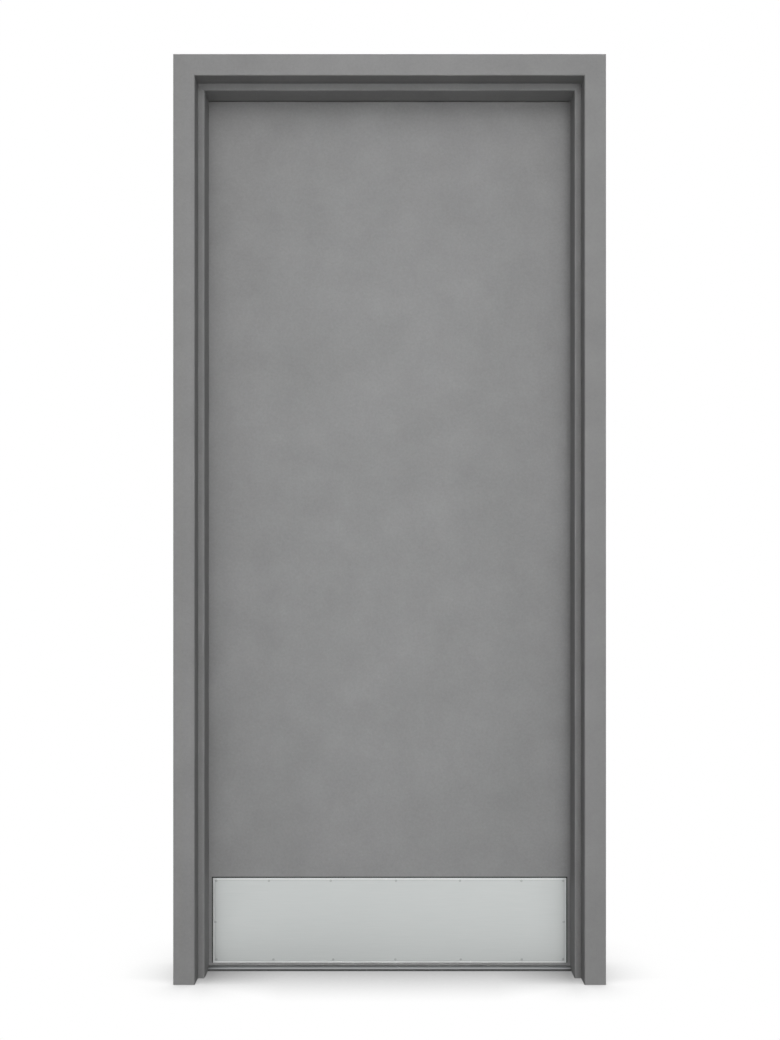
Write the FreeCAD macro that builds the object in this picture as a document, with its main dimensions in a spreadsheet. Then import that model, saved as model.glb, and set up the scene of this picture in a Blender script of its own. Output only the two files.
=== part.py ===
"""Steel utility door: a double-rabbet frame bent from sheet steel, a flush hollow steel leaf on three
butt hinges, a kick plate and a rabbeted threshold.

Millimetres. +X runs along the wall, +Y is the way the leaf opens, +Z is up. The origin is on the
floor, in the middle of the opening, under the mid-plane of the closed leaf.
"""

import FreeCAD
import Part
import Sketcher
import os
import re

Vector = FreeCAD.Vector

# Driving sizes: each one is a cell of the sheet, and every sketch and feature is bound to the cells
SIZES = [
    # Frame profile: clear opening between the rabbets, then the walls of the bent section
    ("opening_width", 914.4),
    ("opening_height", 2133.6),
    ("face_width", 50.8),
    ("front_rabbet", 39.7),
    ("soffit_depth", 56.4),
    ("stop_height", 15.9),
    ("back_bend", 12.7),
    ("frame_sheet", 1.5),
    ("bend_radius", 1.0),
    ("mitre_gap", 0.2),
    # Leaf: two folded face sheets with a recessed channel at the top and the bottom
    ("leaf_thickness", 44.5),
    ("leaf_sheet", 1.2),
    ("leaf_bend_radius", 0.8),
    ("edge_gap", 5.0),
    ("stop_gap", 5.0),
    ("leaf_recess", 0.5),
    ("leaf_clearance", 5.0),
    ("lock_bevel", 2.8),
    ("seam_gap", 0.3),
    ("channel_depth", 25.0),
    ("channel_sheet", 1.5),
    ("channel_end_gap", 0.3),
    # Butt hinges: plates flush in the rabbet and in the leaf's edge, five knuckles on a loose pin
    ("hinge_height", 114.3),
    ("hinge_width", 114.3),
    ("hinge_plate", 3.4),
    ("hinge_backset", 6.4),
    ("hinge_rise", 254.0),
    ("hinge_drop", 127.0),
    ("mortise_clearance", 0.2),
    ("knuckle_radius", 7.0),
    ("knuckle_gap", 0.4),
    ("pin_radius", 3.6),
    ("pin_clearance", 0.08),
    ("pin_head_radius", 5.6),
    ("pin_head_height", 3.0),
    # Joggled plates welded behind the hinge mortises
    ("reinforcement_plate", 4.5),
    ("reinforcement_width", 40.0),
    ("reinforcement_lap", 30.0),
    ("reinforcement_joggle", 4.0),
    # Corner gussets, wall anchors and floor clips inside the frame
    ("gusset_leg", 60.0),
    ("gusset_width", 44.0),
    ("gusset_sheet", 1.5),
    ("anchor_setback", 24.0),
    ("anchor_leg", 16.0),
    ("anchor_width", 40.0),
    ("anchor_sheet", 1.5),
    ("anchor_rise", 380.0),
    ("anchor_drop", 380.0),
    ("anchor_hole_radius", 3.5),
    ("anchor_hole_pitch", 70.0),
    ("clip_reach", 45.0),
    ("clip_rise", 50.0),
    ("clip_width", 48.0),
    ("clip_sheet", 1.9),
    ("clip_hole_radius", 4.0),
    ("clip_hole_pitch", 24.0),
    ("clip_hole_inset", 28.0),
    # Rubber silencers on the strike side of the stop
    ("silencer_radius", 4.2),
    ("silencer_stem_radius", 2.8),
    ("silencer_tail", 3.0),
    ("silencer_clearance", 0.3),
    ("silencer_inset", 5.2),
    ("silencer_rise", 300.0),
    ("silencer_drop", 300.0),
    ("silencer_hole_radius", 3.0),
    # Kick plate on the push face
    ("plate_width", 863.6),
    ("plate_height", 207.0),
    ("plate_sheet", 1.3),
    ("plate_lift", 7.5),
    ("plate_bevel_depth", 0.3),
    ("plate_bevel_width", 5.0),
    # Threshold: a base plate under the leaf and a lip in line with the stop
    ("threshold_base", 2.0),
    ("threshold_lip", 8.0),
    ("threshold_lip_width", 10.5),
    ("threshold_round", 4.5),
    ("threshold_end_gap", 0.3),
    ("threshold_hole_radius", 2.6),
    ("threshold_hole_span", 600.0),
    ("threshold_hole_pitch", 22.0),
]

doc = FreeCAD.newDocument("utility_door")
sheet = doc.addObject("Spreadsheet::Sheet", "Sizes")
for row, (alias, number) in enumerate(SIZES, 1):
    sheet.set(f"A{row}", alias)
    sheet.set(f"B{row}", str(number))
    sheet.setAlias(f"B{row}", alias)
doc.recompute()
ALIASES = {alias for alias, number in SIZES}
BODIES = []

# Places that several pieces share, as formulas of the cells
HALF_OPENING = "opening_width / 2"
STOP_REAR = "-(leaf_thickness / 2 + stop_gap)"
STOP_FRONT = f"({STOP_REAR} - soffit_depth)"
FRAME_FRONT = f"({STOP_FRONT} - front_rabbet)"
FRAME_REAR = "(leaf_thickness / 2 + leaf_recess)"
FRAME_DEPTH = f"({FRAME_REAR} - {FRAME_FRONT})"
SOFFIT_MIDDLE = f"({STOP_REAR} - soffit_depth / 2)"
SOFFIT_BACK = "(frame_sheet - stop_height)"
LEAF_FOOT = "(threshold_base + leaf_clearance)"
LEAF_HEIGHT = f"(opening_height - edge_gap - {LEAF_FOOT})"
LEAF_HINGE_EDGE = "-(opening_width / 2 - edge_gap)"
LEAF_LOCK_EDGE = "(opening_width / 2 - edge_gap)"
HINGE_X = "-(opening_width / 2 - edge_gap / 2)"
HINGE_Y = "(hinge_backset + hinge_width / 2 - leaf_thickness / 2)"
HINGE_SPAN = "(opening_height - hinge_drop - hinge_height - hinge_rise)"
KNUCKLE = "((hinge_height - 4 * knuckle_gap) / 5)"
KNUCKLE_STEP = f"({KNUCKLE} + knuckle_gap)"
LEVELS = ["low", "middle", "high"]


def bound(formula):
    """A formula of size names as an expression on the sheet's cells."""
    return re.sub(r"[a-z_]+", lambda word: f"Sizes.{word[0]}" if word[0] in ALIASES else word[0], formula)


def amount(formula):
    return float(sheet.evalExpression(bound(formula)))


# Modelling helpers: bodies, bound sketches and the features made from them
def new_body(label, x="0", y="0", z="0"):
    body = doc.addObject("PartDesign::Body", label)
    body.Label = label
    for axis, formula in zip("xyz", (x, y, z)):
        body.setExpression(f"Placement.Base.{axis}", bound(formula))
    BODIES.append(body)
    return body


def new_sketch(body, plane, lift):
    """An empty sketch on one of the body's origin planes, lifted along that plane's normal."""
    sketch = body.newObject("Sketcher::SketchObject", f"{body.Label}_sketch")
    origin_plane = next(part for part in body.Origin.OriginFeatures if part.Role == plane)
    sketch.AttachmentSupport = (origin_plane, [""])
    sketch.MapMode = "FlatFace"
    sketch.setExpression("AttachmentOffset.Base.z", bound(lift))
    return sketch


def bind_point(sketch, geometry, point, across, up):
    for kind, formula in (("DistanceX", across), ("DistanceY", up)):
        index = sketch.addConstraint(Sketcher.Constraint(kind, -1, 1, geometry, point, amount(formula)))
        sketch.setExpression(f"Constraints[{index}]", bound(formula))


def outline(body, plane, corners, lift="0"):
    """A closed outline of straight lines whose corners are bound to the sheet."""
    sketch = new_sketch(body, plane, lift)
    places = [Vector(amount(across), amount(up), 0) for across, up in corners]
    count = len(corners)
    for i in range(count):
        sketch.addGeometry(Part.LineSegment(places[i], places[(i + 1) % count]))
    for i in range(count):
        sketch.addConstraint(Sketcher.Constraint("Coincident", i, 2, (i + 1) % count, 1))
    for i, (across, up) in enumerate(corners):
        bind_point(sketch, i, 1, across, up)
    return sketch


def rectangle(body, plane, low, high, lift="0"):
    corners = [low, (high[0], low[1]), high, (low[0], high[1])]
    return outline(body, plane, corners, lift)


def circles(body, plane, centres, radius, lift="0"):
    sketch = new_sketch(body, plane, lift)
    for across, up in centres:
        centre = Vector(amount(across), amount(up), 0)
        index = sketch.addGeometry(Part.Circle(centre, Vector(0, 0, 1), amount(radius)))
        bind_point(sketch, index, 3, across, up)
        size = sketch.addConstraint(Sketcher.Constraint("Radius", index, amount(radius)))
        sketch.setExpression(f"Constraints[{size}]", bound(radius))
    return sketch


def extrusion(body, kind, sketch, length, side, backwards):
    feature = body.newObject(f"PartDesign::{kind}", f"{body.Label}_{kind.lower()}")
    feature.Profile = sketch
    feature.SideType = side
    feature.Reversed = backwards
    feature.setExpression("Length", bound(length))
    doc.recompute()
    return feature


def pad(body, sketch, length, side="One side", backwards=False):
    return extrusion(body, "Pad", sketch, length, side, backwards)


def pocket(body, sketch, length, side="One side", backwards=False):
    """A cut that has to take material away, or the sketch faces the wrong way."""
    before = body.Shape.Volume
    feature = extrusion(body, "Pocket", sketch, length, side, backwards)
    if not body.Shape.Volume < before:
        raise RuntimeError(f"{feature.Label} cuts nothing")
    return feature


def revolve(body, sketch, axis):
    feature = body.newObject("PartDesign::Revolution", f"{body.Label}_revolution")
    feature.Profile = sketch
    feature.ReferenceAxis = (sketch, [axis])
    feature.Angle = 360
    doc.recompute()
    return feature


def repeat_upwards(body, feature, length, count):
    """Copies of a feature, evenly spaced over a length along the body's Z axis."""
    pattern = body.newObject("PartDesign::LinearPattern", f"{body.Label}_pattern")
    pattern.Originals = [feature]
    upright = next(part for part in body.Origin.OriginFeatures if part.Role == "Z_Axis")
    pattern.Direction = (upright, [""])
    pattern.setExpression("Length", bound(length))
    pattern.Occurrences = count
    body.Tip = pattern
    doc.recompute()
    return pattern


def edges_along(shape, axis, places):
    """Names of the straight edges parallel to an axis that pass through the given places across it."""
    others = [i for i in range(3) if i != axis]
    wanted = [tuple(amount(formula) for formula in place) for place in places]
    names = []
    for number, edge in enumerate(shape.Edges, 1):
        ends = [vertex.Point for vertex in edge.Vertexes]
        if len(ends) != 2 or any(abs(ends[0][i] - ends[1][i]) > 1e-6 for i in others):
            continue
        here = tuple(ends[0][i] for i in others)
        if any(max(abs(a - b) for a, b in zip(here, place)) < 1e-4 for place in wanted):
            names.append(f"Edge{number}")
    return names


def dress(body, kind, base, edges, property_name, formula):
    """A fillet or a chamfer on named edges of the feature before it."""
    if not edges:
        raise RuntimeError(f"{body.Label}: no edge to {kind.lower()}")
    feature = body.newObject(f"PartDesign::{kind}", f"{body.Label}_{kind.lower()}")
    feature.Base = (base, edges)
    feature.setExpression(property_name, bound(formula))
    doc.recompute()
    return feature


def round_bends(body, base, axis, tight, wide, radius, thickness):
    """Rolls the corners of a folded sheet: the inside of each bend first, then its outside."""
    inner = dress(body, "Fillet", base, edges_along(base.Shape, axis, tight), "Radius", radius)
    outside = edges_along(inner.Shape, axis, wide)
    return dress(body, "Fillet", inner, outside, "Radius", f"{radius} + {thickness}")


# Frame: one bent profile for the head and both jambs, mitred at the corners
# A place on the profile is its reach outwards from the rabbet line and its depth along Y
OUTER_FOLD = [
    ("face_width", f"{FRAME_FRONT} + back_bend"),
    ("face_width", FRAME_FRONT),
    ("0", FRAME_FRONT),
    ("0", STOP_FRONT),
    ("-stop_height", STOP_FRONT),
    ("-stop_height", STOP_REAR),
    ("0", STOP_REAR),
    ("0", FRAME_REAR),
    ("face_width", FRAME_REAR),
    ("face_width", f"{FRAME_REAR} - back_bend"),
]
INNER_FOLD = [
    ("face_width - frame_sheet", f"{FRAME_FRONT} + back_bend"),
    ("face_width - frame_sheet", f"{FRAME_FRONT} + frame_sheet"),
    ("frame_sheet", f"{FRAME_FRONT} + frame_sheet"),
    ("frame_sheet", f"{STOP_FRONT} + frame_sheet"),
    (SOFFIT_BACK, f"{STOP_FRONT} + frame_sheet"),
    (SOFFIT_BACK, f"{STOP_REAR} - frame_sheet"),
    ("frame_sheet", f"{STOP_REAR} - frame_sheet"),
    ("frame_sheet", f"{FRAME_REAR} - frame_sheet"),
    ("face_width - frame_sheet", f"{FRAME_REAR} - frame_sheet"),
    ("face_width - frame_sheet", f"{FRAME_REAR} - back_bend"),
]
VALLEYS = (3, 6)  # bends where the stop meets the rabbets, folded the other way
RIDGES = (1, 2, 4, 5, 7, 8)
MITRE_SPARE = "face_width"


def side_x(side, reach):
    """X of a reach on the hinge side (-1) or the strike side (+1)."""
    return f"{side} * ({HALF_OPENING} + {reach})"


def mitre_line(side, reach, rise):
    return side_x(side, reach), f"opening_height + {rise}"


def bent_member(body, plane, axis, place, length, side):
    """The folded profile, extruded along a member and with its bends rolled."""
    outer = [place(reach, depth) for reach, depth in OUTER_FOLD]
    inner = [place(reach, depth) for reach, depth in INNER_FOLD]
    bar = pad(body, outline(body, plane, outer + inner[::-1]), length, side)
    tight = [inner[i] for i in RIDGES] + [outer[i] for i in VALLEYS]
    wide = [outer[i] for i in RIDGES] + [inner[i] for i in VALLEYS]
    return round_bends(body, bar, axis, tight, wide, "bend_radius", "frame_sheet")


def mitre(body, side, keeps_below):
    """Cuts a member's end along the corner's diagonal, half the mitre's gap short of it."""
    shift = "-mitre_gap / 2" if keeps_below else "mitre_gap / 2"
    near = f"(-stop_height - {MITRE_SPARE})"
    far = f"(face_width + {MITRE_SPARE})"
    apex = (near, far) if keeps_below else (far, near)
    corners = [(near, f"{near} + {shift}"), (far, f"{far} + {shift}"), (apex[0], f"{apex[1]} + {shift}")]
    waste = outline(body, "XZ_Plane", [mitre_line(side, reach, rise) for reach, rise in corners])
    pocket(body, waste, f"2 * {FRAME_DEPTH}", "Symmetric")


def make_jamb(label, side):
    body = new_body(label)
    bent_member(
        body, "XY_Plane", 2, lambda reach, depth: (side_x(side, reach), depth),
        "opening_height + face_width", "One side",
    )
    mitre(body, side, keeps_below=True)
    return body


def make_head():
    body = new_body("head")
    bent_member(
        body, "YZ_Plane", 0, lambda reach, depth: (depth, f"opening_height + {reach}"),
        "opening_width + 2 * face_width", "Symmetric",
    )
    for side in (-1, 1):
        mitre(body, side, keeps_below=False)


# Hinge mortises: the same three notches in the jamb's rabbet and in both face sheets of the leaf
def cut_mortises(body, near, far):
    """Notches between two places along X, open towards the pull side."""
    notch = rectangle(
        body, "XZ_Plane", (near, "hinge_rise - mortise_clearance"),
        (far, "hinge_rise + hinge_height + mortise_clearance"),
        "leaf_thickness / 2 - hinge_backset + mortise_clearance",
    )
    cut = pocket(body, notch, "2 * leaf_thickness")
    repeat_upwards(body, cut, HINGE_SPAN, len(LEVELS))


def hinge_foot(level):
    return f"hinge_rise + {level} * {HINGE_SPAN} / 2"


# Silencers: rubber buttons pressed into holes in the stop, where the closed leaf lands
def silencer_height(level):
    return f"silencer_rise + {level} * (opening_height - silencer_rise - silencer_drop) / 2"


SILENCER_X = f"({HALF_OPENING} - stop_height + silencer_inset)"


def drill_silencer_holes(body):
    hole = circles(
        body, "XZ_Plane", [(SILENCER_X, silencer_height(0))], "silencer_hole_radius", f"-{STOP_REAR}"
    )
    cut = pocket(body, hole, "2 * frame_sheet", backwards=True)
    repeat_upwards(body, cut, "opening_height - silencer_rise - silencer_drop", len(LEVELS))


def make_silencer(level):
    body = new_body(f"silencer_{LEVELS[level]}", SILENCER_X, STOP_REAR, silencer_height(level))
    length = "(stop_gap - silencer_clearance)"
    profile = [
        ("-frame_sheet - silencer_tail", "0"),
        ("-frame_sheet - silencer_tail", "silencer_stem_radius"),
        ("0", "silencer_stem_radius"),
        ("0", "silencer_radius"),
        (length, "silencer_radius"),
        (length, "0"),
    ]
    revolve(body, outline(body, "YZ_Plane", profile), "H_Axis")


# Joggled plates that carry the hinge plates, welded behind a mortise
def make_reinforcement(label, level, lap_face, seat_face, outwards):
    """The laps lie on the back of the sheet and the middle drops to the hinge plate's seat."""
    body = new_body(label, z=f"{hinge_foot(level)} + hinge_height / 2")
    seat_end = "(hinge_height / 2 + mortise_clearance)"
    lap_start = f"({seat_end} + reinforcement_joggle)"
    lap_end = f"({lap_start} + reinforcement_lap)"
    front = [
        (lap_face, f"-{lap_end}"),
        (lap_face, f"-{lap_start}"),
        (seat_face, f"-{seat_end}"),
        (seat_face, seat_end),
        (lap_face, lap_start),
        (lap_face, lap_end),
    ]
    back = [(f"{across} + {outwards} * reinforcement_plate", up) for across, up in front]
    pad(body, outline(body, "XZ_Plane", front + back[::-1]), "reinforcement_width", "Symmetric")


# Butt hinges: the frame plate has the first, third and fifth knuckles, the door plate the other two
def make_hinge_plate(label, level, side, first_knuckle, first_relief, knuckle_count, relief_count):
    body = new_body(label, HINGE_X, HINGE_Y, hinge_foot(level))
    near, far = f"{side} * edge_gap / 2", f"{side} * (edge_gap / 2 + hinge_plate)"
    plate = rectangle(body, "XY_Plane", (near, "-hinge_width / 2"), (far, "0"))
    pad(body, plate, "hinge_height")
    barrel = circles(body, "XY_Plane", [("0", "0")], "knuckle_radius", first_knuckle)
    knuckle = pad(body, barrel, KNUCKLE)
    repeat_upwards(body, knuckle, f"{2 * (knuckle_count - 1)} * {KNUCKLE_STEP}", knuckle_count)
    room = circles(body, "XY_Plane", [("0", "0")], "knuckle_radius + knuckle_gap", first_relief)
    relief = pocket(body, room, f"{KNUCKLE} + 2 * knuckle_gap", backwards=True)
    repeat_upwards(body, relief, f"{2 * (relief_count - 1)} * {KNUCKLE_STEP}", relief_count)
    bore = circles(body, "XY_Plane", [("0", "0")], "pin_radius + pin_clearance")
    pocket(body, bore, "hinge_height", backwards=True)


def make_hinge_pin(level):
    body = new_body(f"hinge_pin_{LEVELS[level]}", HINGE_X, HINGE_Y, hinge_foot(level))
    profile = [
        ("0", "-pin_head_height"),
        ("pin_head_radius", "-pin_head_height"),
        ("pin_head_radius", "0"),
        ("pin_radius", "0"),
        ("pin_radius", "hinge_height"),
        ("pin_head_radius", "hinge_height"),
        ("pin_head_radius", "hinge_height + pin_head_height"),
        ("0", "hinge_height + pin_head_height"),
    ]
    revolve(body, outline(body, "XZ_Plane", profile), "V_Axis")


# Corner gussets: angles inside the mitres, on the hidden side of the soffit
def make_gusset(label, side):
    body = new_body(label)
    outer = f"({SOFFIT_BACK} + gusset_sheet)"
    tail = f"({SOFFIT_BACK} - gusset_leg)"
    corners = [
        (SOFFIT_BACK, SOFFIT_BACK),
        (SOFFIT_BACK, tail),
        (outer, tail),
        (outer, outer),
        (tail, outer),
        (tail, SOFFIT_BACK),
    ]
    angle = outline(
        body, "XZ_Plane", [mitre_line(side, reach, rise) for reach, rise in corners], f"-{SOFFIT_MIDDLE}"
    )
    pad(body, angle, "gusset_width", "Symmetric")


# Wall anchors: straps across the throat, with a leg on the back of each face
def make_wall_anchor(label, side, level):
    height = f"anchor_rise + {level} * (opening_height - anchor_rise - anchor_drop) / 2"
    body = new_body(label, z=height)
    web = "(face_width - anchor_setback)"
    toe = f"({web} - anchor_leg)"
    front, rear = f"({FRAME_FRONT} + frame_sheet)", f"({FRAME_REAR} - frame_sheet)"
    outer = [(toe, front), (web, front), (web, rear), (toe, rear)]
    inner = [
        (toe, f"{front} + anchor_sheet"),
        (f"{web} - anchor_sheet", f"{front} + anchor_sheet"),
        (f"{web} - anchor_sheet", f"{rear} - anchor_sheet"),
        (toe, f"{rear} - anchor_sheet"),
    ]
    outer = [(side_x(side, reach), depth) for reach, depth in outer]
    inner = [(side_x(side, reach), depth) for reach, depth in inner]
    strap = pad(body, outline(body, "XY_Plane", outer + inner[::-1]), "anchor_width", "Symmetric")
    round_bends(body, strap, 2, inner[1:3], outer[1:3], "bend_radius", "anchor_sheet")
    middle = f"({FRAME_FRONT} + {FRAME_REAR}) / 2"
    centres = [(f"{middle} + {end} * anchor_hole_pitch / 2", "0") for end in (-1, 1)]
    holes = circles(body, "YZ_Plane", centres, "anchor_hole_radius", side_x(side, web))
    pocket(body, holes, "4 * anchor_sheet", "Symmetric")


# Floor clips: angles inside the feet of the jambs, on the hidden side of the soffit
def make_floor_clip(label, side):
    body = new_body(label)
    toe, heel = f"({SOFFIT_BACK} + clip_reach)", f"({SOFFIT_BACK} + clip_sheet)"
    corners = [
        (SOFFIT_BACK, "0"),
        (SOFFIT_BACK, "clip_rise"),
        (heel, "clip_rise"),
        (heel, "clip_sheet"),
        (toe, "clip_sheet"),
        (toe, "0"),
    ]
    corners = [(side_x(side, reach), rise) for reach, rise in corners]
    angle = pad(body, outline(body, "XZ_Plane", corners, f"-{SOFFIT_MIDDLE}"), "clip_width", "Symmetric")
    round_bends(body, angle, 1, [corners[3]], [corners[0]], "bend_radius", "clip_sheet")
    hole_x = side_x(side, f"{SOFFIT_BACK} + clip_hole_inset")
    centres = [(hole_x, f"{SOFFIT_MIDDLE} + {end} * clip_hole_pitch / 2") for end in (-1, 1)]
    holes = circles(body, "XY_Plane", centres, "clip_hole_radius")
    pocket(body, holes, "4 * clip_sheet", "Symmetric")


# Leaf: two folded face sheets that meet in a seam round the middle of both edges
def lock_edge_x(depth):
    """X of the bevelled lock edge at a depth: the push side is narrower, so the corner swings clear."""
    return f"{LEAF_LOCK_EDGE} - lock_bevel * (0.5 - ({depth}) / leaf_thickness)"


def make_face_sheet(label, facing):
    """The push sheet faces -1 and the pull sheet +1."""
    body = new_body(label)
    seam, skin = f"{facing} * seam_gap / 2", f"{facing} * leaf_thickness / 2"
    back = f"{facing} * (leaf_thickness / 2 - leaf_sheet)"
    outer = [
        (LEAF_HINGE_EDGE, seam),
        (LEAF_HINGE_EDGE, skin),
        (lock_edge_x(skin), skin),
        (lock_edge_x(seam), seam),
    ]
    inner = [
        (f"{LEAF_HINGE_EDGE} + leaf_sheet", seam),
        (f"{LEAF_HINGE_EDGE} + leaf_sheet", back),
        (f"{lock_edge_x(back)} - leaf_sheet", back),
        (f"{lock_edge_x(seam)} - leaf_sheet", seam),
    ]
    pan = pad(body, outline(body, "XY_Plane", outer + inner[::-1], LEAF_FOOT), LEAF_HEIGHT)
    round_bends(body, pan, 2, inner[1:3], outer[1:3], "leaf_bend_radius", "leaf_sheet")
    cut_mortises(body, f"{LEAF_HINGE_EDGE} - edge_gap", f"{LEAF_HINGE_EDGE} + hinge_plate")


def make_end_channel(label, rim, inwards):
    """A channel between the face sheets, its flanges level with the leaf's end and its web recessed."""
    body = new_body(label)
    wall = "(leaf_thickness / 2 - leaf_sheet)"
    web, floor = f"{rim} + {inwards} * channel_depth", f"{rim} + {inwards} * (channel_depth - channel_sheet)"
    outer = [(f"-{wall}", rim), (f"-{wall}", web), (wall, web), (wall, rim)]
    inner = [
        (f"channel_sheet - {wall}", rim),
        (f"channel_sheet - {wall}", floor),
        (f"{wall} - channel_sheet", floor),
        (f"{wall} - channel_sheet", rim),
    ]
    corner = "(leaf_sheet + leaf_bend_radius + channel_end_gap)"
    start = f"({LEAF_HINGE_EDGE} + {corner})"
    end = f"({LEAF_LOCK_EDGE} - lock_bevel - {corner})"
    trough = pad(body, outline(body, "YZ_Plane", outer + inner[::-1], start), f"{end} - {start}")
    round_bends(body, trough, 0, inner[1:3], outer[1:3], "bend_radius", "channel_sheet")


# Kick plate: a bevelled sheet screwed to the foot of the push face
def make_kick_plate():
    body = new_body("kick_plate")
    foot = f"{LEAF_FOOT} + plate_lift"
    low, high = ("-plate_width / 2", foot), ("plate_width / 2", f"{foot} + plate_height")
    rim = "(plate_sheet - plate_bevel_depth)"
    pad(body, rectangle(body, "XZ_Plane", low, high, "leaf_thickness / 2"), rim)
    face = pad(body, rectangle(body, "XZ_Plane", low, high, f"leaf_thickness / 2 + {rim}"), "plate_bevel_depth")
    face.setExpression("TaperAngle", bound("-atan(plate_bevel_width / plate_bevel_depth)"))
    doc.recompute()


# Threshold: the base runs under the leaf between the rabbets, the lip stands between the stops
def make_threshold():
    body = new_body("threshold")
    wide = f"({HALF_OPENING} - threshold_end_gap)"
    narrow = f"({HALF_OPENING} - stop_height - threshold_end_gap)"
    shoulder = f"({STOP_REAR} + threshold_end_gap)"
    nose = f"({STOP_REAR} - threshold_lip_width)"
    base = [
        (f"-{narrow}", nose),
        (narrow, nose),
        (narrow, shoulder),
        (wide, shoulder),
        (wide, FRAME_REAR),
        (f"-{wide}", FRAME_REAR),
        (f"-{wide}", shoulder),
        (f"-{narrow}", shoulder),
    ]
    pad(body, outline(body, "XY_Plane", base), "threshold_base")
    lip = pad(body, rectangle(body, "XY_Plane", (f"-{narrow}", nose), (narrow, STOP_REAR)), "threshold_lip")
    crest = edges_along(lip.Shape, 0, [(nose, "threshold_lip")])
    dress(body, "Fillet", lip, crest, "Radius", "threshold_round")
    centres = [
        (f"{end} * threshold_hole_span / 2", f"{row} * threshold_hole_pitch / 2")
        for end in (-1, 1) for row in (-1, 1)
    ]
    holes = circles(body, "XY_Plane", centres, "threshold_hole_radius")
    pocket(body, holes, "4 * threshold_base", "Symmetric")


# Assembly, from the floor and the frame to the leaf
make_head()
hinge_jamb = make_jamb("hinge_jamb", -1)
cut_mortises(hinge_jamb, f"-({HALF_OPENING} + hinge_plate)", f"-({HALF_OPENING} - stop_height)")
strike_jamb = make_jamb("strike_jamb", 1)
drill_silencer_holes(strike_jamb)
for name, side in (("hinge", -1), ("strike", 1)):
    make_gusset(f"{name}_corner_gusset", side)
    make_floor_clip(f"{name}_floor_clip", side)
    for level, word in enumerate(LEVELS):
        make_wall_anchor(f"{name}_wall_anchor_{word}", side, level)
make_threshold()

make_face_sheet("push_face_sheet", -1)
make_face_sheet("pull_face_sheet", 1)
make_end_channel("top_channel", "(opening_height - edge_gap)", -1)
make_end_channel("bottom_channel", LEAF_FOOT, 1)
make_kick_plate()

for level, word in enumerate(LEVELS):
    make_silencer(level)
    make_reinforcement(
        f"jamb_reinforcement_{word}", level, f"-({HALF_OPENING} + frame_sheet)",
        f"-({HALF_OPENING} + hinge_plate)", -1,
    )
    make_reinforcement(
        f"leaf_reinforcement_{word}", level, f"{LEAF_HINGE_EDGE} + leaf_sheet",
        f"{LEAF_HINGE_EDGE} + hinge_plate", 1,
    )
    make_hinge_plate(f"frame_hinge_plate_{word}", level, -1, "0", KNUCKLE, 3, 2)
    make_hinge_plate(f"door_hinge_plate_{word}", level, 1, KNUCKLE_STEP, "-knuckle_gap", 2, 3)
    make_hinge_pin(level)

doc.recompute()
for item in doc.Objects:
    if "Invalid" in item.State or "Error" in item.State:
        raise RuntimeError(f"{item.Label} failed: {item.State}")
for body in BODIES:
    if body.Shape.isNull() or not body.Shape.isValid() or not body.Shape.Solids:
        raise RuntimeError(f"{body.Label} has no valid solid")

os.makedirs("parts", exist_ok=True)
for body in BODIES:
    body.Shape.exportStep(f"parts/{body.Label}.step")
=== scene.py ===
import math

import bpy
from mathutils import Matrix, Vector


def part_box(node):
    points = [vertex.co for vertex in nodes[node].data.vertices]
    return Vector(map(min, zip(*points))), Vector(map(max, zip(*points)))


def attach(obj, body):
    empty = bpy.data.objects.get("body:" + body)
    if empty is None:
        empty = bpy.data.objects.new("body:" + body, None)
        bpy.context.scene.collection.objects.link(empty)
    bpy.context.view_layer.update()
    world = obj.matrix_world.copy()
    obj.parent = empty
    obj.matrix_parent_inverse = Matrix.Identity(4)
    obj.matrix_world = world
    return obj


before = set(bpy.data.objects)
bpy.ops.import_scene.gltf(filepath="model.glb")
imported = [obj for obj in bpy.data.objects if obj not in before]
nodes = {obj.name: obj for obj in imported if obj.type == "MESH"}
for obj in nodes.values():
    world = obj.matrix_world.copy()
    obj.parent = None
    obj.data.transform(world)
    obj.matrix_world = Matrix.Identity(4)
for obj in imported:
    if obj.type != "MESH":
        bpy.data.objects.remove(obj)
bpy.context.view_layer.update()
bpy.ops.object.select_all(action="DESELECT")

# Head and jambs: one double-rabbet section folded from 1.5 mm steel sheet, mitred and welded at the
# corners, ground flush and then sprayed with a satin grey alkyd enamel.


def linear(hex_colour):
    """An sRGB hex colour as the linear RGBA that a shader takes."""
    channels = [int(hex_colour[i:i + 2], 16) / 255 for i in (1, 3, 5)]
    return [c / 12.92 if c <= 0.04045 else ((c + 0.055) / 1.055) ** 2.4 for c in channels] + [1.0]


def add_node(material, kind, links=(), values=(), stops=(), **settings):
    """Adds a shader node. Settings are its properties or sockets with one-word names, values are other
    sockets by name or number, stops are a ramp's places and colours, and links lead to other nodes."""
    tree = material.node_tree
    new = tree.nodes.new(kind)
    for key, value in settings.items():
        if key in new.inputs:
            new.inputs[key].default_value = value
        else:
            setattr(new, key, value)
    for socket, value in dict(values).items():
        new.inputs[socket].default_value = value
    for number, (position, colour) in enumerate(stops):
        new.color_ramp.elements[number].position = position
        new.color_ramp.elements[number].color = linear(colour)
    for socket, source in dict(links).items():
        tree.links.new(source, new.inputs[socket])
    return new


def start_material(name, constants):
    """A new material with one Principled surface, whose constant sockets are set."""
    material = bpy.data.materials.new(name)
    material.use_nodes = True
    material.node_tree.nodes.clear()
    surface = add_node(material, "ShaderNodeBsdfPrincipled", values=constants, name="surface")
    add_node(material, "ShaderNodeOutputMaterial", {"Surface": surface.outputs["BSDF"]})
    return material


def feed(material, socket, source):
    """Links a node's output to a socket of the material's surface."""
    material.node_tree.links.new(source, material.node_tree.nodes["surface"].inputs[socket])


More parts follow.
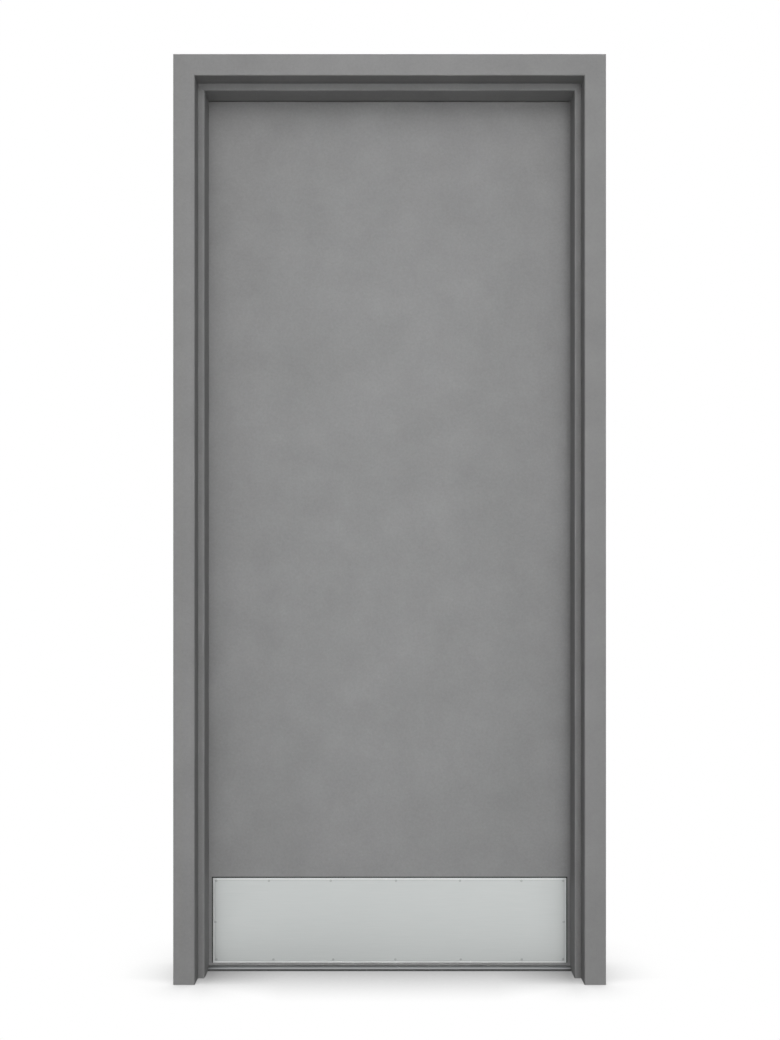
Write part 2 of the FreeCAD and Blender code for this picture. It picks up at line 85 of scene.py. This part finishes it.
def satin_enamel(name, lighter, darker):
    """Low-sheen enamel from a spray gun: to the eye a dull even grey with soft paler clouds a hand across
    where the spray fell drier, fine specks, an orange peel, and sheet that is never quite flat."""
    cloud_mm = 90
    # Specks of overspray are under a millimetre and are drawn as coarse as they need to show
    speck_mm = 6
    speck_share = 0.48
    peel_mm = 2.4
    peel_height = 0.00003
    wave_mm = 300
    wave_height = 0.0002
    faint = 0.3
    strong = 0.7
    wet_roughness = 0.60
    dry_roughness = 0.68
    material = start_material(name, {"Specular IOR Level": 0.12})
    place = add_node(material, "ShaderNodeTexCoord").outputs["Object"]
    clouds = add_node(material, "ShaderNodeTexNoise", {"Vector": place}, Scale=1000 / cloud_mm, Detail=7.0,
                      Roughness=0.55)
    specks = add_node(material, "ShaderNodeTexNoise", {"Vector": place}, Scale=1000 / speck_mm, Detail=3.0,
                      Roughness=0.9)
    blend = add_node(material, "ShaderNodeMix", {"A": clouds.outputs["Fac"], "B": specks.outputs["Fac"]},
                     data_type="FLOAT", Factor=speck_share)
    tone = add_node(material, "ShaderNodeValToRGB", {"Fac": blend.outputs["Result"]},
                    stops=((faint, darker), (strong, lighter)), name="tone")
    feed(material, "Base Color", tone.outputs["Color"])
    gloss = add_node(material, "ShaderNodeMapRange", {"Value": clouds.outputs["Fac"]},
                     {"From Min": faint, "From Max": strong,
                      "To Min": wet_roughness, "To Max": dry_roughness})
    feed(material, "Roughness", gloss.outputs["Result"])
    peel = add_node(material, "ShaderNodeTexNoise", {"Vector": place}, Scale=1000 / peel_mm, Detail=1.0)
    waves = add_node(material, "ShaderNodeTexNoise", {"Vector": place}, Scale=1000 / wave_mm, Detail=1.0)
    sheet = add_node(material, "ShaderNodeBump", {"Height": waves.outputs["Fac"]}, Strength=1.0,
                     Distance=wave_height)
    skin = add_node(material, "ShaderNodeBump",
                    {"Height": peel.outputs["Fac"], "Normal": sheet.outputs["Normal"]}, Strength=0.6,
                    Distance=peel_height)
    feed(material, "Normal", skin.outputs["Normal"])
    return material


def dress(name, material):
    """Gives a CAD node its finish."""
    for holder in nodes[name].material_slots:
        holder.material = material


frame_enamel = satin_enamel("satin_enamel_on_frame", "#9d9d9d", "#909090")
# Painted shade: the coat is darker on the faces that look sideways, such as the returns, and in the folds,
# where ambient occlusion is low. Both stand in for the shade that falls there.
side_shade = 0.2
fold_reach = 0.06
fold_shade_power = 0.35
# Painted shade on the faces that look sideways
facing = add_node(frame_enamel, "ShaderNodeTexCoord").outputs["Normal"]
facing_parts = add_node(frame_enamel, "ShaderNodeSeparateXYZ", {"Vector": facing})
sideways = add_node(frame_enamel, "ShaderNodeMath", {0: facing_parts.outputs["X"]}, operation="ABSOLUTE")
painted_side_shade = add_node(frame_enamel, "ShaderNodeMath", {0: sideways.outputs[0]}, {1: -side_shade, 2: 1.0},
                operation="MULTIPLY_ADD")
# Painted shade in the folds: the lower the ambient occlusion, the darker the coat
fold_occlusion = add_node(frame_enamel, "ShaderNodeAmbientOcclusion", Distance=fold_reach, samples=6, only_local=True)
painted_fold_shade = add_node(frame_enamel, "ShaderNodeMath", {0: fold_occlusion.outputs["AO"]}, {1: fold_shade_power}, operation="POWER")
painted_shade = add_node(frame_enamel, "ShaderNodeMath", {0: painted_side_shade.outputs[0], 1: painted_fold_shade.outputs[0]},
                operation="MULTIPLY")
even_coat = frame_enamel.node_tree.nodes["tone"].outputs["Color"]
shaded_coat = add_node(frame_enamel, "ShaderNodeMix", {"A": even_coat, "B": painted_shade.outputs[0]},
                data_type="RGBA", blend_type="MULTIPLY", Factor=1.0)
feed(frame_enamel, "Base Color", shaded_coat.outputs["Result"])
for member in ("head", "hinge_jamb", "strike_jamb"):
    dress(member, frame_enamel)

# Anchors, clips, gussets and hinge reinforcements: cut and bent from zinc coated strip, spot-welded
# inside the frame and the leaf and left unpainted. To the eye the zinc is dull silver crystals, each with
# its own tone and gloss.
levels = ("low", "middle", "high")
crystal_mm = 7
bright_crystal = 0.42
dull_crystal = 0.58
zinc = start_material("hot_dip_zinc_on_steel", {"Metallic": 1.0})
zinc_place = add_node(zinc, "ShaderNodeTexCoord").outputs["Object"]
spangle = add_node(zinc, "ShaderNodeTexVoronoi", {"Vector": zinc_place}, Scale=1000 / crystal_mm)
spangle_tone = add_node(zinc, "ShaderNodeValToRGB", {"Fac": spangle.outputs["Color"]},
                        stops=((0.0, "#9da1a3"), (1.0, "#b9bdbe")))
feed(zinc, "Base Color", spangle_tone.outputs["Color"])
spangle_gloss = add_node(zinc, "ShaderNodeMapRange", {"Value": spangle.outputs["Color"]},
                         {"To Min": bright_crystal, "To Max": dull_crystal})
feed(zinc, "Roughness", spangle_gloss.outputs["Result"])
for side in ("hinge", "strike"):
    dress(f"{side}_corner_gusset", zinc)
    dress(f"{side}_floor_clip", zinc)
    for level in levels:
        dress(f"{side}_wall_anchor_{level}", zinc)
for level in levels:
    dress(f"jamb_reinforcement_{level}", zinc)
    dress(f"leaf_reinforcement_{level}", zinc)

# Silencers: moulded grey rubber buttons, pushed into holes in the strike jamb's stop. To the eye they are
# a dull dark grey with a faint pale bloom.
bloom_mm = 3
rubber = start_material("moulded_grey_rubber", {"Roughness": 0.75})
rubber_place = add_node(rubber, "ShaderNodeTexCoord").outputs["Object"]
bloom = add_node(rubber, "ShaderNodeTexNoise", {"Vector": rubber_place}, Scale=1000 / bloom_mm, Detail=3.0)
bloom_tone = add_node(rubber, "ShaderNodeValToRGB", {"Fac": bloom.outputs["Fac"]},
                      stops=((0.0, "#5c5c5b"), (1.0, "#6d6d6c")))
feed(rubber, "Base Color", bloom_tone.outputs["Color"])
for level in levels:
    dress(f"silencer_{level}", rubber)

# Threshold: an aluminium extrusion in mill finish, screwed to the floor under the leaf. The die leaves
# lines along its length, which the eye sees as soft silver streaks.
die_run_mm = 400
# Real die lines are under half a millimetre wide and are drawn as coarse as they need to show
die_line_mm = 2
die_depth = 0.00005
aluminium = start_material("mill_finish_aluminium", {"Metallic": 1.0, "Roughness": 0.42})
aluminium_place = add_node(aluminium, "ShaderNodeTexCoord").outputs["Object"]
along = add_node(aluminium, "ShaderNodeMapping", {"Vector": aluminium_place},
                 Scale=(1000 / die_run_mm, 1000 / die_line_mm, 1000 / die_line_mm))
die_lines = add_node(aluminium, "ShaderNodeTexNoise", {"Vector": along.outputs["Vector"]}, Scale=1.0,
                     Detail=3.0)
die_tone = add_node(aluminium, "ShaderNodeValToRGB", {"Fac": die_lines.outputs["Fac"]},
                    stops=((0.0, "#999b9c"), (1.0, "#acaeaf")))
feed(aluminium, "Base Color", die_tone.outputs["Color"])
die_bump = add_node(aluminium, "ShaderNodeBump", {"Height": die_lines.outputs["Fac"]}, Strength=0.4,
                    Distance=die_depth)
feed(aluminium, "Normal", die_bump.outputs["Normal"])
dress("threshold", aluminium)

# Leaf: two face sheets of 1.2 mm steel folded into pans, with channels welded in at the top and the
# bottom, sprayed with the same enamel as the frame.
leaf_enamel = satin_enamel("satin_enamel_on_leaf", "#9c9c9c", "#8c8c8c")
for sheet_name in ("push_face_sheet", "pull_face_sheet", "top_channel", "bottom_channel"):
    dress(sheet_name, leaf_enamel)

# Kick plate: satin stainless sheet with bevelled edges, screwed to the push face. The belt leaves fine
# lines along its length, which blur what it mirrors. The ground bevel is coloured brighter, a painted
# highlight along the rim, with a faint dull line where it ends.


def brushed_stainless(name, lighter, darker, line_mm, run_mm, roughness):
    """Stainless steel ground with a belt: to the eye a soft mirror, with lines along X that vary its tone
    and gloss a little. Real lines are about 0.1 mm wide and are drawn as coarse as they need to show."""
    line_depth = 0.00004
    # Hands leave the gloss a little brighter where they rub and a little duller where they touch
    handling_mm = 90
    rubbed = 0.03
    touched = 0.04
    material = start_material(name, {"Metallic": 1.0, "Anisotropic": 0.4})
    place = add_node(material, "ShaderNodeTexCoord").outputs["Object"]
    run = add_node(material, "ShaderNodeMapping", {"Vector": place},
                   Scale=(1000 / run_mm, 1000 / line_mm, 1000 / line_mm))
    lines = add_node(material, "ShaderNodeTexNoise", {"Vector": run.outputs["Vector"]}, Scale=1.0,
                     Detail=4.0)
    tone = add_node(material, "ShaderNodeValToRGB", {"Fac": lines.outputs["Fac"]},
                    stops=((0.25, darker), (0.75, lighter)), name="tone")
    feed(material, "Base Color", tone.outputs["Color"])
    handling = add_node(material, "ShaderNodeTexNoise", {"Vector": place}, Scale=1000 / handling_mm,
                        Detail=3.0)
    gloss = add_node(material, "ShaderNodeMapRange", {"Value": handling.outputs["Fac"]},
                     {"From Min": 0.3, "From Max": 0.7,
                      "To Min": roughness - rubbed, "To Max": roughness + touched})
    feed(material, "Roughness", gloss.outputs["Result"])
    scratch = add_node(material, "ShaderNodeBump", {"Height": lines.outputs["Fac"]}, Strength=0.3,
                       Distance=line_depth)
    feed(material, "Normal", scratch.outputs["Normal"])
    return material


plate_low, plate_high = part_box("kick_plate")
plate_middle = (plate_low + plate_high) / 2
plate_half = (plate_high - plate_low) / 2
bevel_width = 0.0050
bevel_depth = 0.0003
bevel_matt = 0.7
crease_half = 0.0007
plate_steel = brushed_stainless("satin_stainless_sheet", "#d7dad9", "#d1d5d4", line_mm=0.9, run_mm=70,
                                roughness=0.36)
# How far a point lies from the plate's nearest edge, for the bevel and the line along it
plate_place = add_node(plate_steel, "ShaderNodeTexCoord").outputs["Object"]
centred = add_node(plate_steel, "ShaderNodeVectorMath", {0: plate_place}, {1: plate_middle},
                   operation="SUBTRACT")
folded = add_node(plate_steel, "ShaderNodeVectorMath", {0: centred.outputs[0]}, operation="ABSOLUTE")
from_edge = add_node(plate_steel, "ShaderNodeVectorMath", {1: folded.outputs[0]}, {0: plate_half},
                     operation="SUBTRACT")
inward = add_node(plate_steel, "ShaderNodeSeparateXYZ", {"Vector": from_edge.outputs[0]})
nearest = add_node(plate_steel, "ShaderNodeMath", {0: inward.outputs["X"], 1: inward.outputs["Z"]},
                   operation="MINIMUM")
on_bevel = add_node(plate_steel, "ShaderNodeMath", {0: nearest.outputs[0]}, {1: bevel_width},
                    operation="LESS_THAN")
crease = add_node(plate_steel, "ShaderNodeMath", {0: nearest.outputs[0]}, {1: bevel_width, 2: crease_half},
                  operation="COMPARE")
belt_tone = plate_steel.node_tree.nodes["tone"].outputs["Color"]
# Painted highlight: the bevel takes a lighter colour, standing in for the light that the rim catches
ground_bevel_highlight = add_node(plate_steel, "ShaderNodeMix", {"Factor": on_bevel.outputs[0], "A": belt_tone},
                  data_type="RGBA", B=linear("#e8ebea"))
dulled = add_node(plate_steel, "ShaderNodeMix", {"Factor": crease.outputs[0], "A": ground_bevel_highlight.outputs["Result"]},
                  data_type="RGBA", B=linear("#c6c9c8"))
feed(plate_steel, "Base Color", dulled.outputs["Result"])
# The ground bevel is matt and scatters light, where the belt's finish mirrors it
scatter = add_node(plate_steel, "ShaderNodeMath", {0: on_bevel.outputs[0]}, {1: -bevel_matt, 2: 1.0},
                   operation="MULTIPLY_ADD")
feed(plate_steel, "Metallic", scatter.outputs[0])
dress("kick_plate", plate_steel)

# Kick plate sealant: a dark grey bead of silicone tooled into the corner between the plate's rim and
# the leaf along its top and both ends, its dark grey a painted shadow line round the plate. The bottom
# has no bead.
bead_width = 0.0027
rim_height = plate_high.y - plate_low.y - bevel_depth
leaf_face = plate_high.y
tolerance = 1e-6


def pick(piece, kind, wanted):
    """In edit mode, selects the faces or edges of the piece for which wanted is true."""
    bpy.ops.mesh.select_mode(type=kind)
    bpy.ops.mesh.select_all(action="DESELECT")
    bpy.ops.object.mode_set(mode="OBJECT")
    mesh = piece.data
    if kind == "FACE":
        for face in mesh.polygons:
            face.select = wanted(face)
    else:
        for edge in mesh.edges:
            edge.select = wanted([mesh.vertices[i].co for i in edge.vertices])
    bpy.ops.object.mode_set(mode="EDIT")


bpy.ops.mesh.primitive_plane_add(size=2.0, location=(plate_middle.x, leaf_face, plate_middle.z),
                                 rotation=(math.radians(90), 0.0, 0.0))
bead = bpy.context.object
bead.name = "kick_plate_sealant_painted_shade"
bead.scale = (plate_half.x + bead_width, plate_half.z + bead_width, 1.0)
bpy.ops.object.transform_apply(location=True, rotation=True, scale=True)
bpy.ops.object.mode_set(mode="EDIT")
# The bead's face rises in two slopes from the leaf to the plate's rim
for width_share, rise_share in ((0.4, 0.7), (0.6, 0.3)):
    bpy.ops.mesh.inset(thickness=bead_width * width_share, use_even_offset=True)
    bpy.ops.transform.translate(value=(0.0, -rim_height * rise_share, 0.0))
bpy.ops.mesh.delete(type="FACE")
pick(bead, "EDGE", lambda ends: all(abs(end.y - leaf_face + rim_height) < tolerance for end in ends))
bpy.ops.mesh.extrude_edges_move(TRANSFORM_OT_translate={"value": (0.0, rim_height, 0.0)})
pick(bead, "EDGE", lambda ends: all(abs(end.y - leaf_face) < tolerance for end in ends))
bpy.ops.mesh.bridge_edge_loops()
bpy.ops.mesh.select_all(action="SELECT")
bpy.ops.mesh.bisect(plane_co=plate_low, plane_no=(0.0, 0.0, 1.0), use_fill=True, clear_inner=True)
bpy.ops.mesh.select_all(action="SELECT")
bpy.ops.mesh.normals_make_consistent(inside=False)
bpy.ops.object.mode_set(mode="OBJECT")


def silicone(name, lighter, darker):
    """Cured silicone sealant whose grey is painted shade: to the eye a dull grey with the faint unevenness
    that a fingertip leaves.
    """
    fingertip_mm = 20
    material = start_material(name, {"Roughness": 0.6, "Specular IOR Level": 0.2})
    place = add_node(material, "ShaderNodeTexCoord").outputs["Object"]
    tooling = add_node(material, "ShaderNodeTexNoise", {"Vector": place}, Scale=1000 / fingertip_mm,
                       Detail=3.0)
    tone = add_node(material, "ShaderNodeValToRGB", {"Fac": tooling.outputs["Fac"]},
                    stops=((0.0, darker), (1.0, lighter)))
    feed(material, "Base Color", tone.outputs["Color"])
    return material


# The bead's dark grey is painted shade: it stands in for the shadow line round the plate
bead.data.materials.append(silicone("dark_silicone_painted_shade", "#2f3030", "#262727"))
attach(bead, "leaf")

# Threshold sealant: grey silicone tooled into the corner between the threshold's lip and the floor along
# its whole front. Its grey is painted shade: it darkens the foot of the lip's front, where shade falls.
lip_low, lip_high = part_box("threshold")
foot_bead_depth = 0.0022
foot_bead_height = 0.0042
hollow_share = 0.85
smooth_angle = math.radians(30)
bpy.ops.object.select_all(action="DESELECT")
bpy.ops.mesh.primitive_cube_add(
    size=1.0, location=(0.0, lip_low.y - foot_bead_depth / 2, foot_bead_height / 2))
foot_bead = bpy.context.object
foot_bead.name = "threshold_sealant_painted_shade"
bpy.ops.object.mode_set(mode="EDIT")
# A fingertip leaves the bead's upper front edge hollow
pick(foot_bead, "EDGE", lambda ends: all(end.y < 0 < end.z for end in ends))
bpy.ops.mesh.bevel(offset=hollow_share, segments=6, profile=0.3)
bpy.ops.object.mode_set(mode="OBJECT")
foot_bead.scale = (lip_high.x - lip_low.x, foot_bead_depth, foot_bead_height)
bpy.ops.object.transform_apply(location=True, rotation=True, scale=True)
bpy.ops.object.shade_smooth_by_angle(angle=smooth_angle)
# The bead's grey is painted shade along the foot of the threshold's front
foot_bead.data.materials.append(silicone("grey_silicone_painted_shade", "#575858", "#4c4d4d"))
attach(foot_bead, "frame")

# Kick plate screws: small oval-head stainless screws with a cross recess, seven along the top, seven
# along the bottom and one at each end, driven through the plate into the leaf.


def cross_recess_head(name, radius, rim, crown, recess):
    """A screw head on the origin that looks up +Z: a rim, a crown above it and a cross recess."""
    rim_sides = 28
    arm_share = 0.3
    # A face looks a certain way where its normal comes this near to it
    looks_there = 0.9
    bpy.ops.mesh.primitive_cylinder_add(vertices=rim_sides, radius=radius, depth=rim,
                                        location=(0.0, 0.0, rim / 2))
    head = bpy.context.object
    head.name = name
    bpy.ops.object.mode_set(mode="EDIT")
    pick(head, "FACE", lambda face: face.normal.z > looks_there)
    # The crown: three rings, each flatter than the one outside it
    for inward_share, rise_share in ((0.2, 0.5), (0.25, 0.35), (0.25, 0.15)):
        bpy.ops.mesh.inset(thickness=radius * inward_share)
        bpy.ops.transform.translate(value=(0.0, 0.0, crown * rise_share))
    bpy.ops.object.mode_set(mode="OBJECT")
    bpy.ops.object.select_all(action="DESELECT")
    arm = recess * arm_share
    bpy.ops.mesh.primitive_cube_add(size=arm, location=(0.0, 0.0, rim + crown))
    cross = bpy.context.object
    bpy.ops.object.transform_apply(location=True, rotation=True, scale=True)
    for way in (Vector((1, 0, 0)), Vector((-1, 0, 0)), Vector((0, 1, 0)), Vector((0, -1, 0))):
        bpy.ops.object.mode_set(mode="EDIT")
        pick(cross, "FACE", lambda face: face.normal.dot(way) > looks_there and face.center.dot(way) < arm)
        bpy.ops.mesh.extrude_region_move(TRANSFORM_OT_translate={"value": way * (recess - arm) / 2})
        bpy.ops.object.mode_set(mode="OBJECT")
    cut = head.modifiers.new("recess", "BOOLEAN")
    cut.object = cross
    cut.operation = "DIFFERENCE"
    bpy.ops.object.select_all(action="DESELECT")
    bpy.context.view_layer.objects.active = head
    head.select_set(True)
    bpy.ops.object.modifier_apply(modifier="recess")
    bpy.data.objects.remove(cross)
    return head


def set_screws(name, head, places, face_turn):
    """Copies a screw head to each place, turned to face outwards, and joins the copies as one piece."""
    # Each screw stops at its own angle
    stop_step = 137.5
    copies = []
    for number, place in enumerate(places):
        screw = head.copy()
        screw.data = head.data.copy()
        bpy.context.collection.objects.link(screw)
        screw.location = place
        screw.rotation_mode = "ZYX"
        screw.rotation_euler = (face_turn[0], face_turn[1], math.radians(stop_step * number))
        copies.append(screw)
    bpy.ops.object.select_all(action="DESELECT")
    for screw in copies:
        screw.select_set(True)
    bpy.context.view_layer.objects.active = copies[0]
    bpy.ops.object.join()
    bpy.ops.object.transform_apply(location=True, rotation=True, scale=True)
    piece = bpy.context.object
    piece.rotation_mode = "XYZ"
    piece.name = name
    bpy.ops.object.shade_smooth_by_angle(angle=smooth_angle)
    return piece


plate_head = cross_recess_head("plate_screw_head", radius=0.0030, rim=0.0003, crown=0.0006, recess=0.0030)
top_row = (-0.4230, -0.2950, -0.1440, 0.0155, 0.1720, 0.3220, 0.4240)
bottom_row = (-0.4230, -0.2840, -0.1380, 0.0140, 0.1740, 0.3230, 0.4237)
top_inset = 0.0068
bottom_inset = 0.0085
end_inset = 0.0065
end_drop = 0.0040
end_columns = (plate_low.x + end_inset, plate_high.x - end_inset)
plate_places = [(x, plate_low.y, plate_high.z - top_inset) for x in top_row]
plate_places += [(x, plate_low.y, plate_low.z + bottom_inset) for x in bottom_row]
plate_places += [(x, plate_low.y, plate_middle.z - end_drop) for x in end_columns]
plate_screws = set_screws("kick_plate_screws", plate_head, plate_places, (math.radians(90), 0.0))
bpy.data.objects.remove(plate_head)
screw_steel = brushed_stainless("stainless_screw_heads", "#c4c7c6", "#b8bbba", line_mm=0.5, run_mm=4,
                                roughness=0.34)
plate_screws.data.materials.append(screw_steel)
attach(plate_screws, "leaf")

# Hinges: three satin stainless butt hinges, each with five knuckles on a loose pin. Their plates lie
# flush in the jamb and in the leaf's edge.
hinge_steel = brushed_stainless("satin_stainless_hinge", "#b9bab8", "#aeafad", line_mm=0.6, run_mm=25,
                                roughness=0.33)
for level in levels:
    dress(f"frame_hinge_plate_{level}", hinge_steel)
    dress(f"door_hinge_plate_{level}", hinge_steel)
    dress(f"hinge_pin_{level}", hinge_steel)

# Hinge screws: four flat-head stainless machine screws in each plate, two nearer the pin and two
# further off, set a hair proud of the plate.
hinge_head = cross_recess_head("hinge_screw_head", radius=0.0055, rim=0.00012, crown=0.00013, recess=0.0060)
# Painted shade: the screws' steel is toned darker than the hinges', standing in for the dark ring round each
# head
hinge_screw_steel = brushed_stainless("stainless_machine_screws", "#8f908f", "#838483", line_mm=0.5,
                                      run_mm=4, roughness=0.42)
near_pin = 0.0100
far_from_pin = -0.0055
inner_level = 0.016
outer_level = 0.044
edge_gap = 0.005
leaf_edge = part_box("push_face_sheet")[0].x
jamb_rabbet = leaf_edge - edge_gap
# Each half's plates, its body, the face that its screws stand on, and the turn that makes them look out
hinge_halves = (
    ("frame_hinge_plate", "frame", jamb_rabbet, 90),
    ("door_hinge_plate", "leaf", leaf_edge, -90),
)
for level in levels:
    for half, body, face, turn in hinge_halves:
        half_low, half_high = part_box(f"{half}_{level}")
        middle = (half_low.z + half_high.z) / 2
        places = [(face, near_pin, middle + z) for z in (-outer_level, inner_level)]
        places += [(face, far_from_pin, middle + z) for z in (-inner_level, outer_level)]
        screws = set_screws(f"{half}_{level}_screws", hinge_head, places, (0.0, math.radians(turn)))
        screws.data.materials.append(hinge_screw_steel)
        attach(screws, body)
bpy.data.objects.remove(hinge_head)

# Studio: a white floor and surround that keep the door's contact shadow. Broad panels in front, behind,
# above and at the sides light it evenly, and a strip lifts the middle of the leaf.


def seeing_rays(material):
    """Two switches: 1 for rays from the camera or through glass, and 1 for rays off gloss."""
    rays = add_node(material, "ShaderNodeLightPath")
    eye = add_node(material, "ShaderNodeMath",
                   {0: rays.outputs["Is Camera Ray"], 1: rays.outputs["Is Transmission Ray"]},
                   operation="MAXIMUM")
    return eye.outputs[0], rays.outputs["Is Glossy Ray"]


floor_width = 40.0
bpy.ops.mesh.primitive_plane_add(size=floor_width, location=(0.0, 0.0, 0.0))
floor = bpy.context.object
floor.name = "studio_floor"
floor_paint = bpy.data.materials.new("white_studio_floor")
floor_paint.use_nodes = True
floor_paint.node_tree.nodes.clear()
floor_eye, floor_gloss = seeing_rays(floor_paint)
# The contact shadow as the eye sees it is deep in the doorway and runs 0.2 m out of it. Beside the jambs
# it is faint, and in front of them short too. In the satin steel it is wider and softer.
doorway_reach = 0.2
jamb_reach = 0.1
mirrored_reach = 0.7
doorway_depth = 1.2
jamb_depth = 0.6
mirrored_depth = 0.42
# It fades from the one to the other about the inner front corner of each jamb
jamb_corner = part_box("strike_jamb")[0]
jamb_fade = (jamb_corner.x - 0.191, jamb_corner.x + 0.019)
front_fade = (jamb_corner.y + 0.043, jamb_corner.y)
depth_fade = (jamb_corner.x - 0.011, jamb_corner.x + 0.029)
floor_place = add_node(floor_paint, "ShaderNodeTexCoord").outputs["Object"]
spot = add_node(floor_paint, "ShaderNodeSeparateXYZ", {"Vector": floor_place})
aside = add_node(floor_paint, "ShaderNodeMath", {0: spot.outputs["X"]}, operation="ABSOLUTE")
by_jamb = add_node(floor_paint, "ShaderNodeMapRange", {"Value": aside.outputs[0]},
                   {"From Min": jamb_fade[0], "From Max": jamb_fade[1]})
in_front = add_node(floor_paint, "ShaderNodeMapRange", {"Value": spot.outputs["Y"]},
                    {"From Min": front_fade[0], "From Max": front_fade[1]})
before_jamb = add_node(floor_paint, "ShaderNodeMath",
                       {0: by_jamb.outputs["Result"], 1: in_front.outputs["Result"]}, operation="MULTIPLY")
seen_reach = add_node(floor_paint, "ShaderNodeMapRange", {"Value": before_jamb.outputs[0]},
                      {"To Min": doorway_reach, "To Max": jamb_reach})
reach = add_node(floor_paint, "ShaderNodeMix", {"Factor": floor_gloss, "A": seen_reach.outputs["Result"]},
                 data_type="FLOAT", B=mirrored_reach)
near = add_node(floor_paint, "ShaderNodeAmbientOcclusion", {"Distance": reach.outputs["Result"]}, samples=12)
seen_depth = add_node(floor_paint, "ShaderNodeMapRange", {"Value": aside.outputs[0]},
                      {"From Min": depth_fade[0], "From Max": depth_fade[1],
                       "To Min": doorway_depth, "To Max": jamb_depth})
depth = add_node(floor_paint, "ShaderNodeMix", {"Factor": floor_gloss, "A": seen_depth.outputs["Result"]},
                 data_type="FLOAT", B=mirrored_depth)
shade = add_node(floor_paint, "ShaderNodeMath", {0: near.outputs["AO"], 1: depth.outputs["Result"]},
                 operation="POWER")
# How bright the floor is in the light that it throws on the door and mirrored in gloss. The eye sees white
bounce = 0.072
mirrored = 0.92
unseen = add_node(floor_paint, "ShaderNodeMath", {0: floor_gloss}, {1: mirrored - bounce, 2: bounce},
                  operation="MULTIPLY_ADD")
glow = add_node(floor_paint, "ShaderNodeMath", {0: unseen.outputs[0], 1: floor_eye}, operation="MAXIMUM")
lit = add_node(floor_paint, "ShaderNodeEmission", {"Color": shade.outputs[0], "Strength": glow.outputs[0]})
add_node(floor_paint, "ShaderNodeOutputMaterial", {"Surface": lit.outputs[0]})
floor.data.materials.append(floor_paint)

fill_strength = 0.02
world = bpy.data.worlds.new("white_surround")
bpy.context.scene.world = world
world.use_nodes = True
world.node_tree.nodes.clear()
world_eye, world_gloss = seeing_rays(world)
world_seen = add_node(world, "ShaderNodeMath", {0: world_eye, 1: world_gloss}, operation="MAXIMUM")
fill = add_node(world, "ShaderNodeBackground", Color=linear("#ffffff"), Strength=fill_strength)
white = add_node(world, "ShaderNodeBackground", Color=linear("#ffffff"), Strength=1.0)
choice = add_node(world, "ShaderNodeMixShader",
                  {0: world_seen.outputs[0], 1: fill.outputs[0], 2: white.outputs[0]})
add_node(world, "ShaderNodeOutputWorld", {"Surface": choice.outputs[0]})

# Each lamp's place, width, height and power in watts
lamps = {
    "front_panel": ((0.0, -6.0, 0.9), 12.0, 1.8, 162.0),
    "front_top_panel": ((0.0, -4.5, 5.5), 8.0, 3.0, 114.0),
    "front_high_lamp": ((0.9, -8.0, 5.0), 3.0, 3.0, 131.0),
    "front_right_lamp": ((3.0, -9.5, 1.0), 3.0, 2.0, 72.0),
    "rear_panel": ((0.0, 6.0, 0.9), 12.0, 1.8, 115.0),
    "rear_top_panel": ((0.0, 4.5, 5.5), 8.0, 3.0, 90.0),
    "rear_left_lamp": ((-3.0, 9.5, 2.5), 3.0, 3.0, 118.0),
    "overhead_lamp": ((0.0, 1.5, 5.5), 4.0, 2.0, 160.0),
    "side_right_lamp": ((6.0, 2.0, 2.0), 3.0, 3.0, 260.0),
    "side_left_lamp": ((-6.0, 2.0, 2.0), 3.0, 3.0, 260.0),
}
lamp_aim = Vector((0.0, 0.0, 1.0))


def add_lamp(name, place, width, height, power):
    """A rectangular lamp aimed at the middle of the door, which doesn't show in gloss."""
    way = lamp_aim - Vector(place)
    bpy.ops.object.light_add(type="AREA", location=place, rotation=way.to_track_quat("-Z", "Y").to_euler())
    lamp = bpy.context.object
    lamp.name = name
    lamp.data.shape = "RECTANGLE"
    lamp.data.size = width
    lamp.data.size_y = height
    lamp.data.energy = power
    lamp.visible_glossy = False
    return lamp


for lamp_name, lamp_facts in lamps.items():
    add_lamp(lamp_name, *lamp_facts)
# The strip stands behind a grid, level, so that it reaches little but the leaf
strip = add_lamp("front_strip", place=(0.0, -4.0, 1.08), width=0.3, height=2.0, power=1.0)
strip.rotation_euler = (math.radians(90), 0.0, 0.0)
strip.data.spread = math.radians(20)

# Camera: level with a person's waist, square on to the push side, with the picture shifted so that the
# door stands in it as in the photo.
camera_distance = 2.48935
camera_height = 0.9499
photo_height_px = 1040
focal_px = 1008.8
shift_right_px = 0.39
shift_up_px = 60.0
sensor_mm = 36.0
bpy.ops.object.camera_add(location=(0.0, -camera_distance, camera_height),
                          rotation=(math.radians(90), 0.0, 0.0))
camera = bpy.context.object
camera.data.sensor_width = sensor_mm
camera.data.lens = sensor_mm * focal_px / photo_height_px
camera.data.shift_x = shift_right_px / photo_height_px
camera.data.shift_y = shift_up_px / photo_height_px
bpy.context.scene.camera = camera
bpy.context.scene.view_settings.view_transform = "Standard"
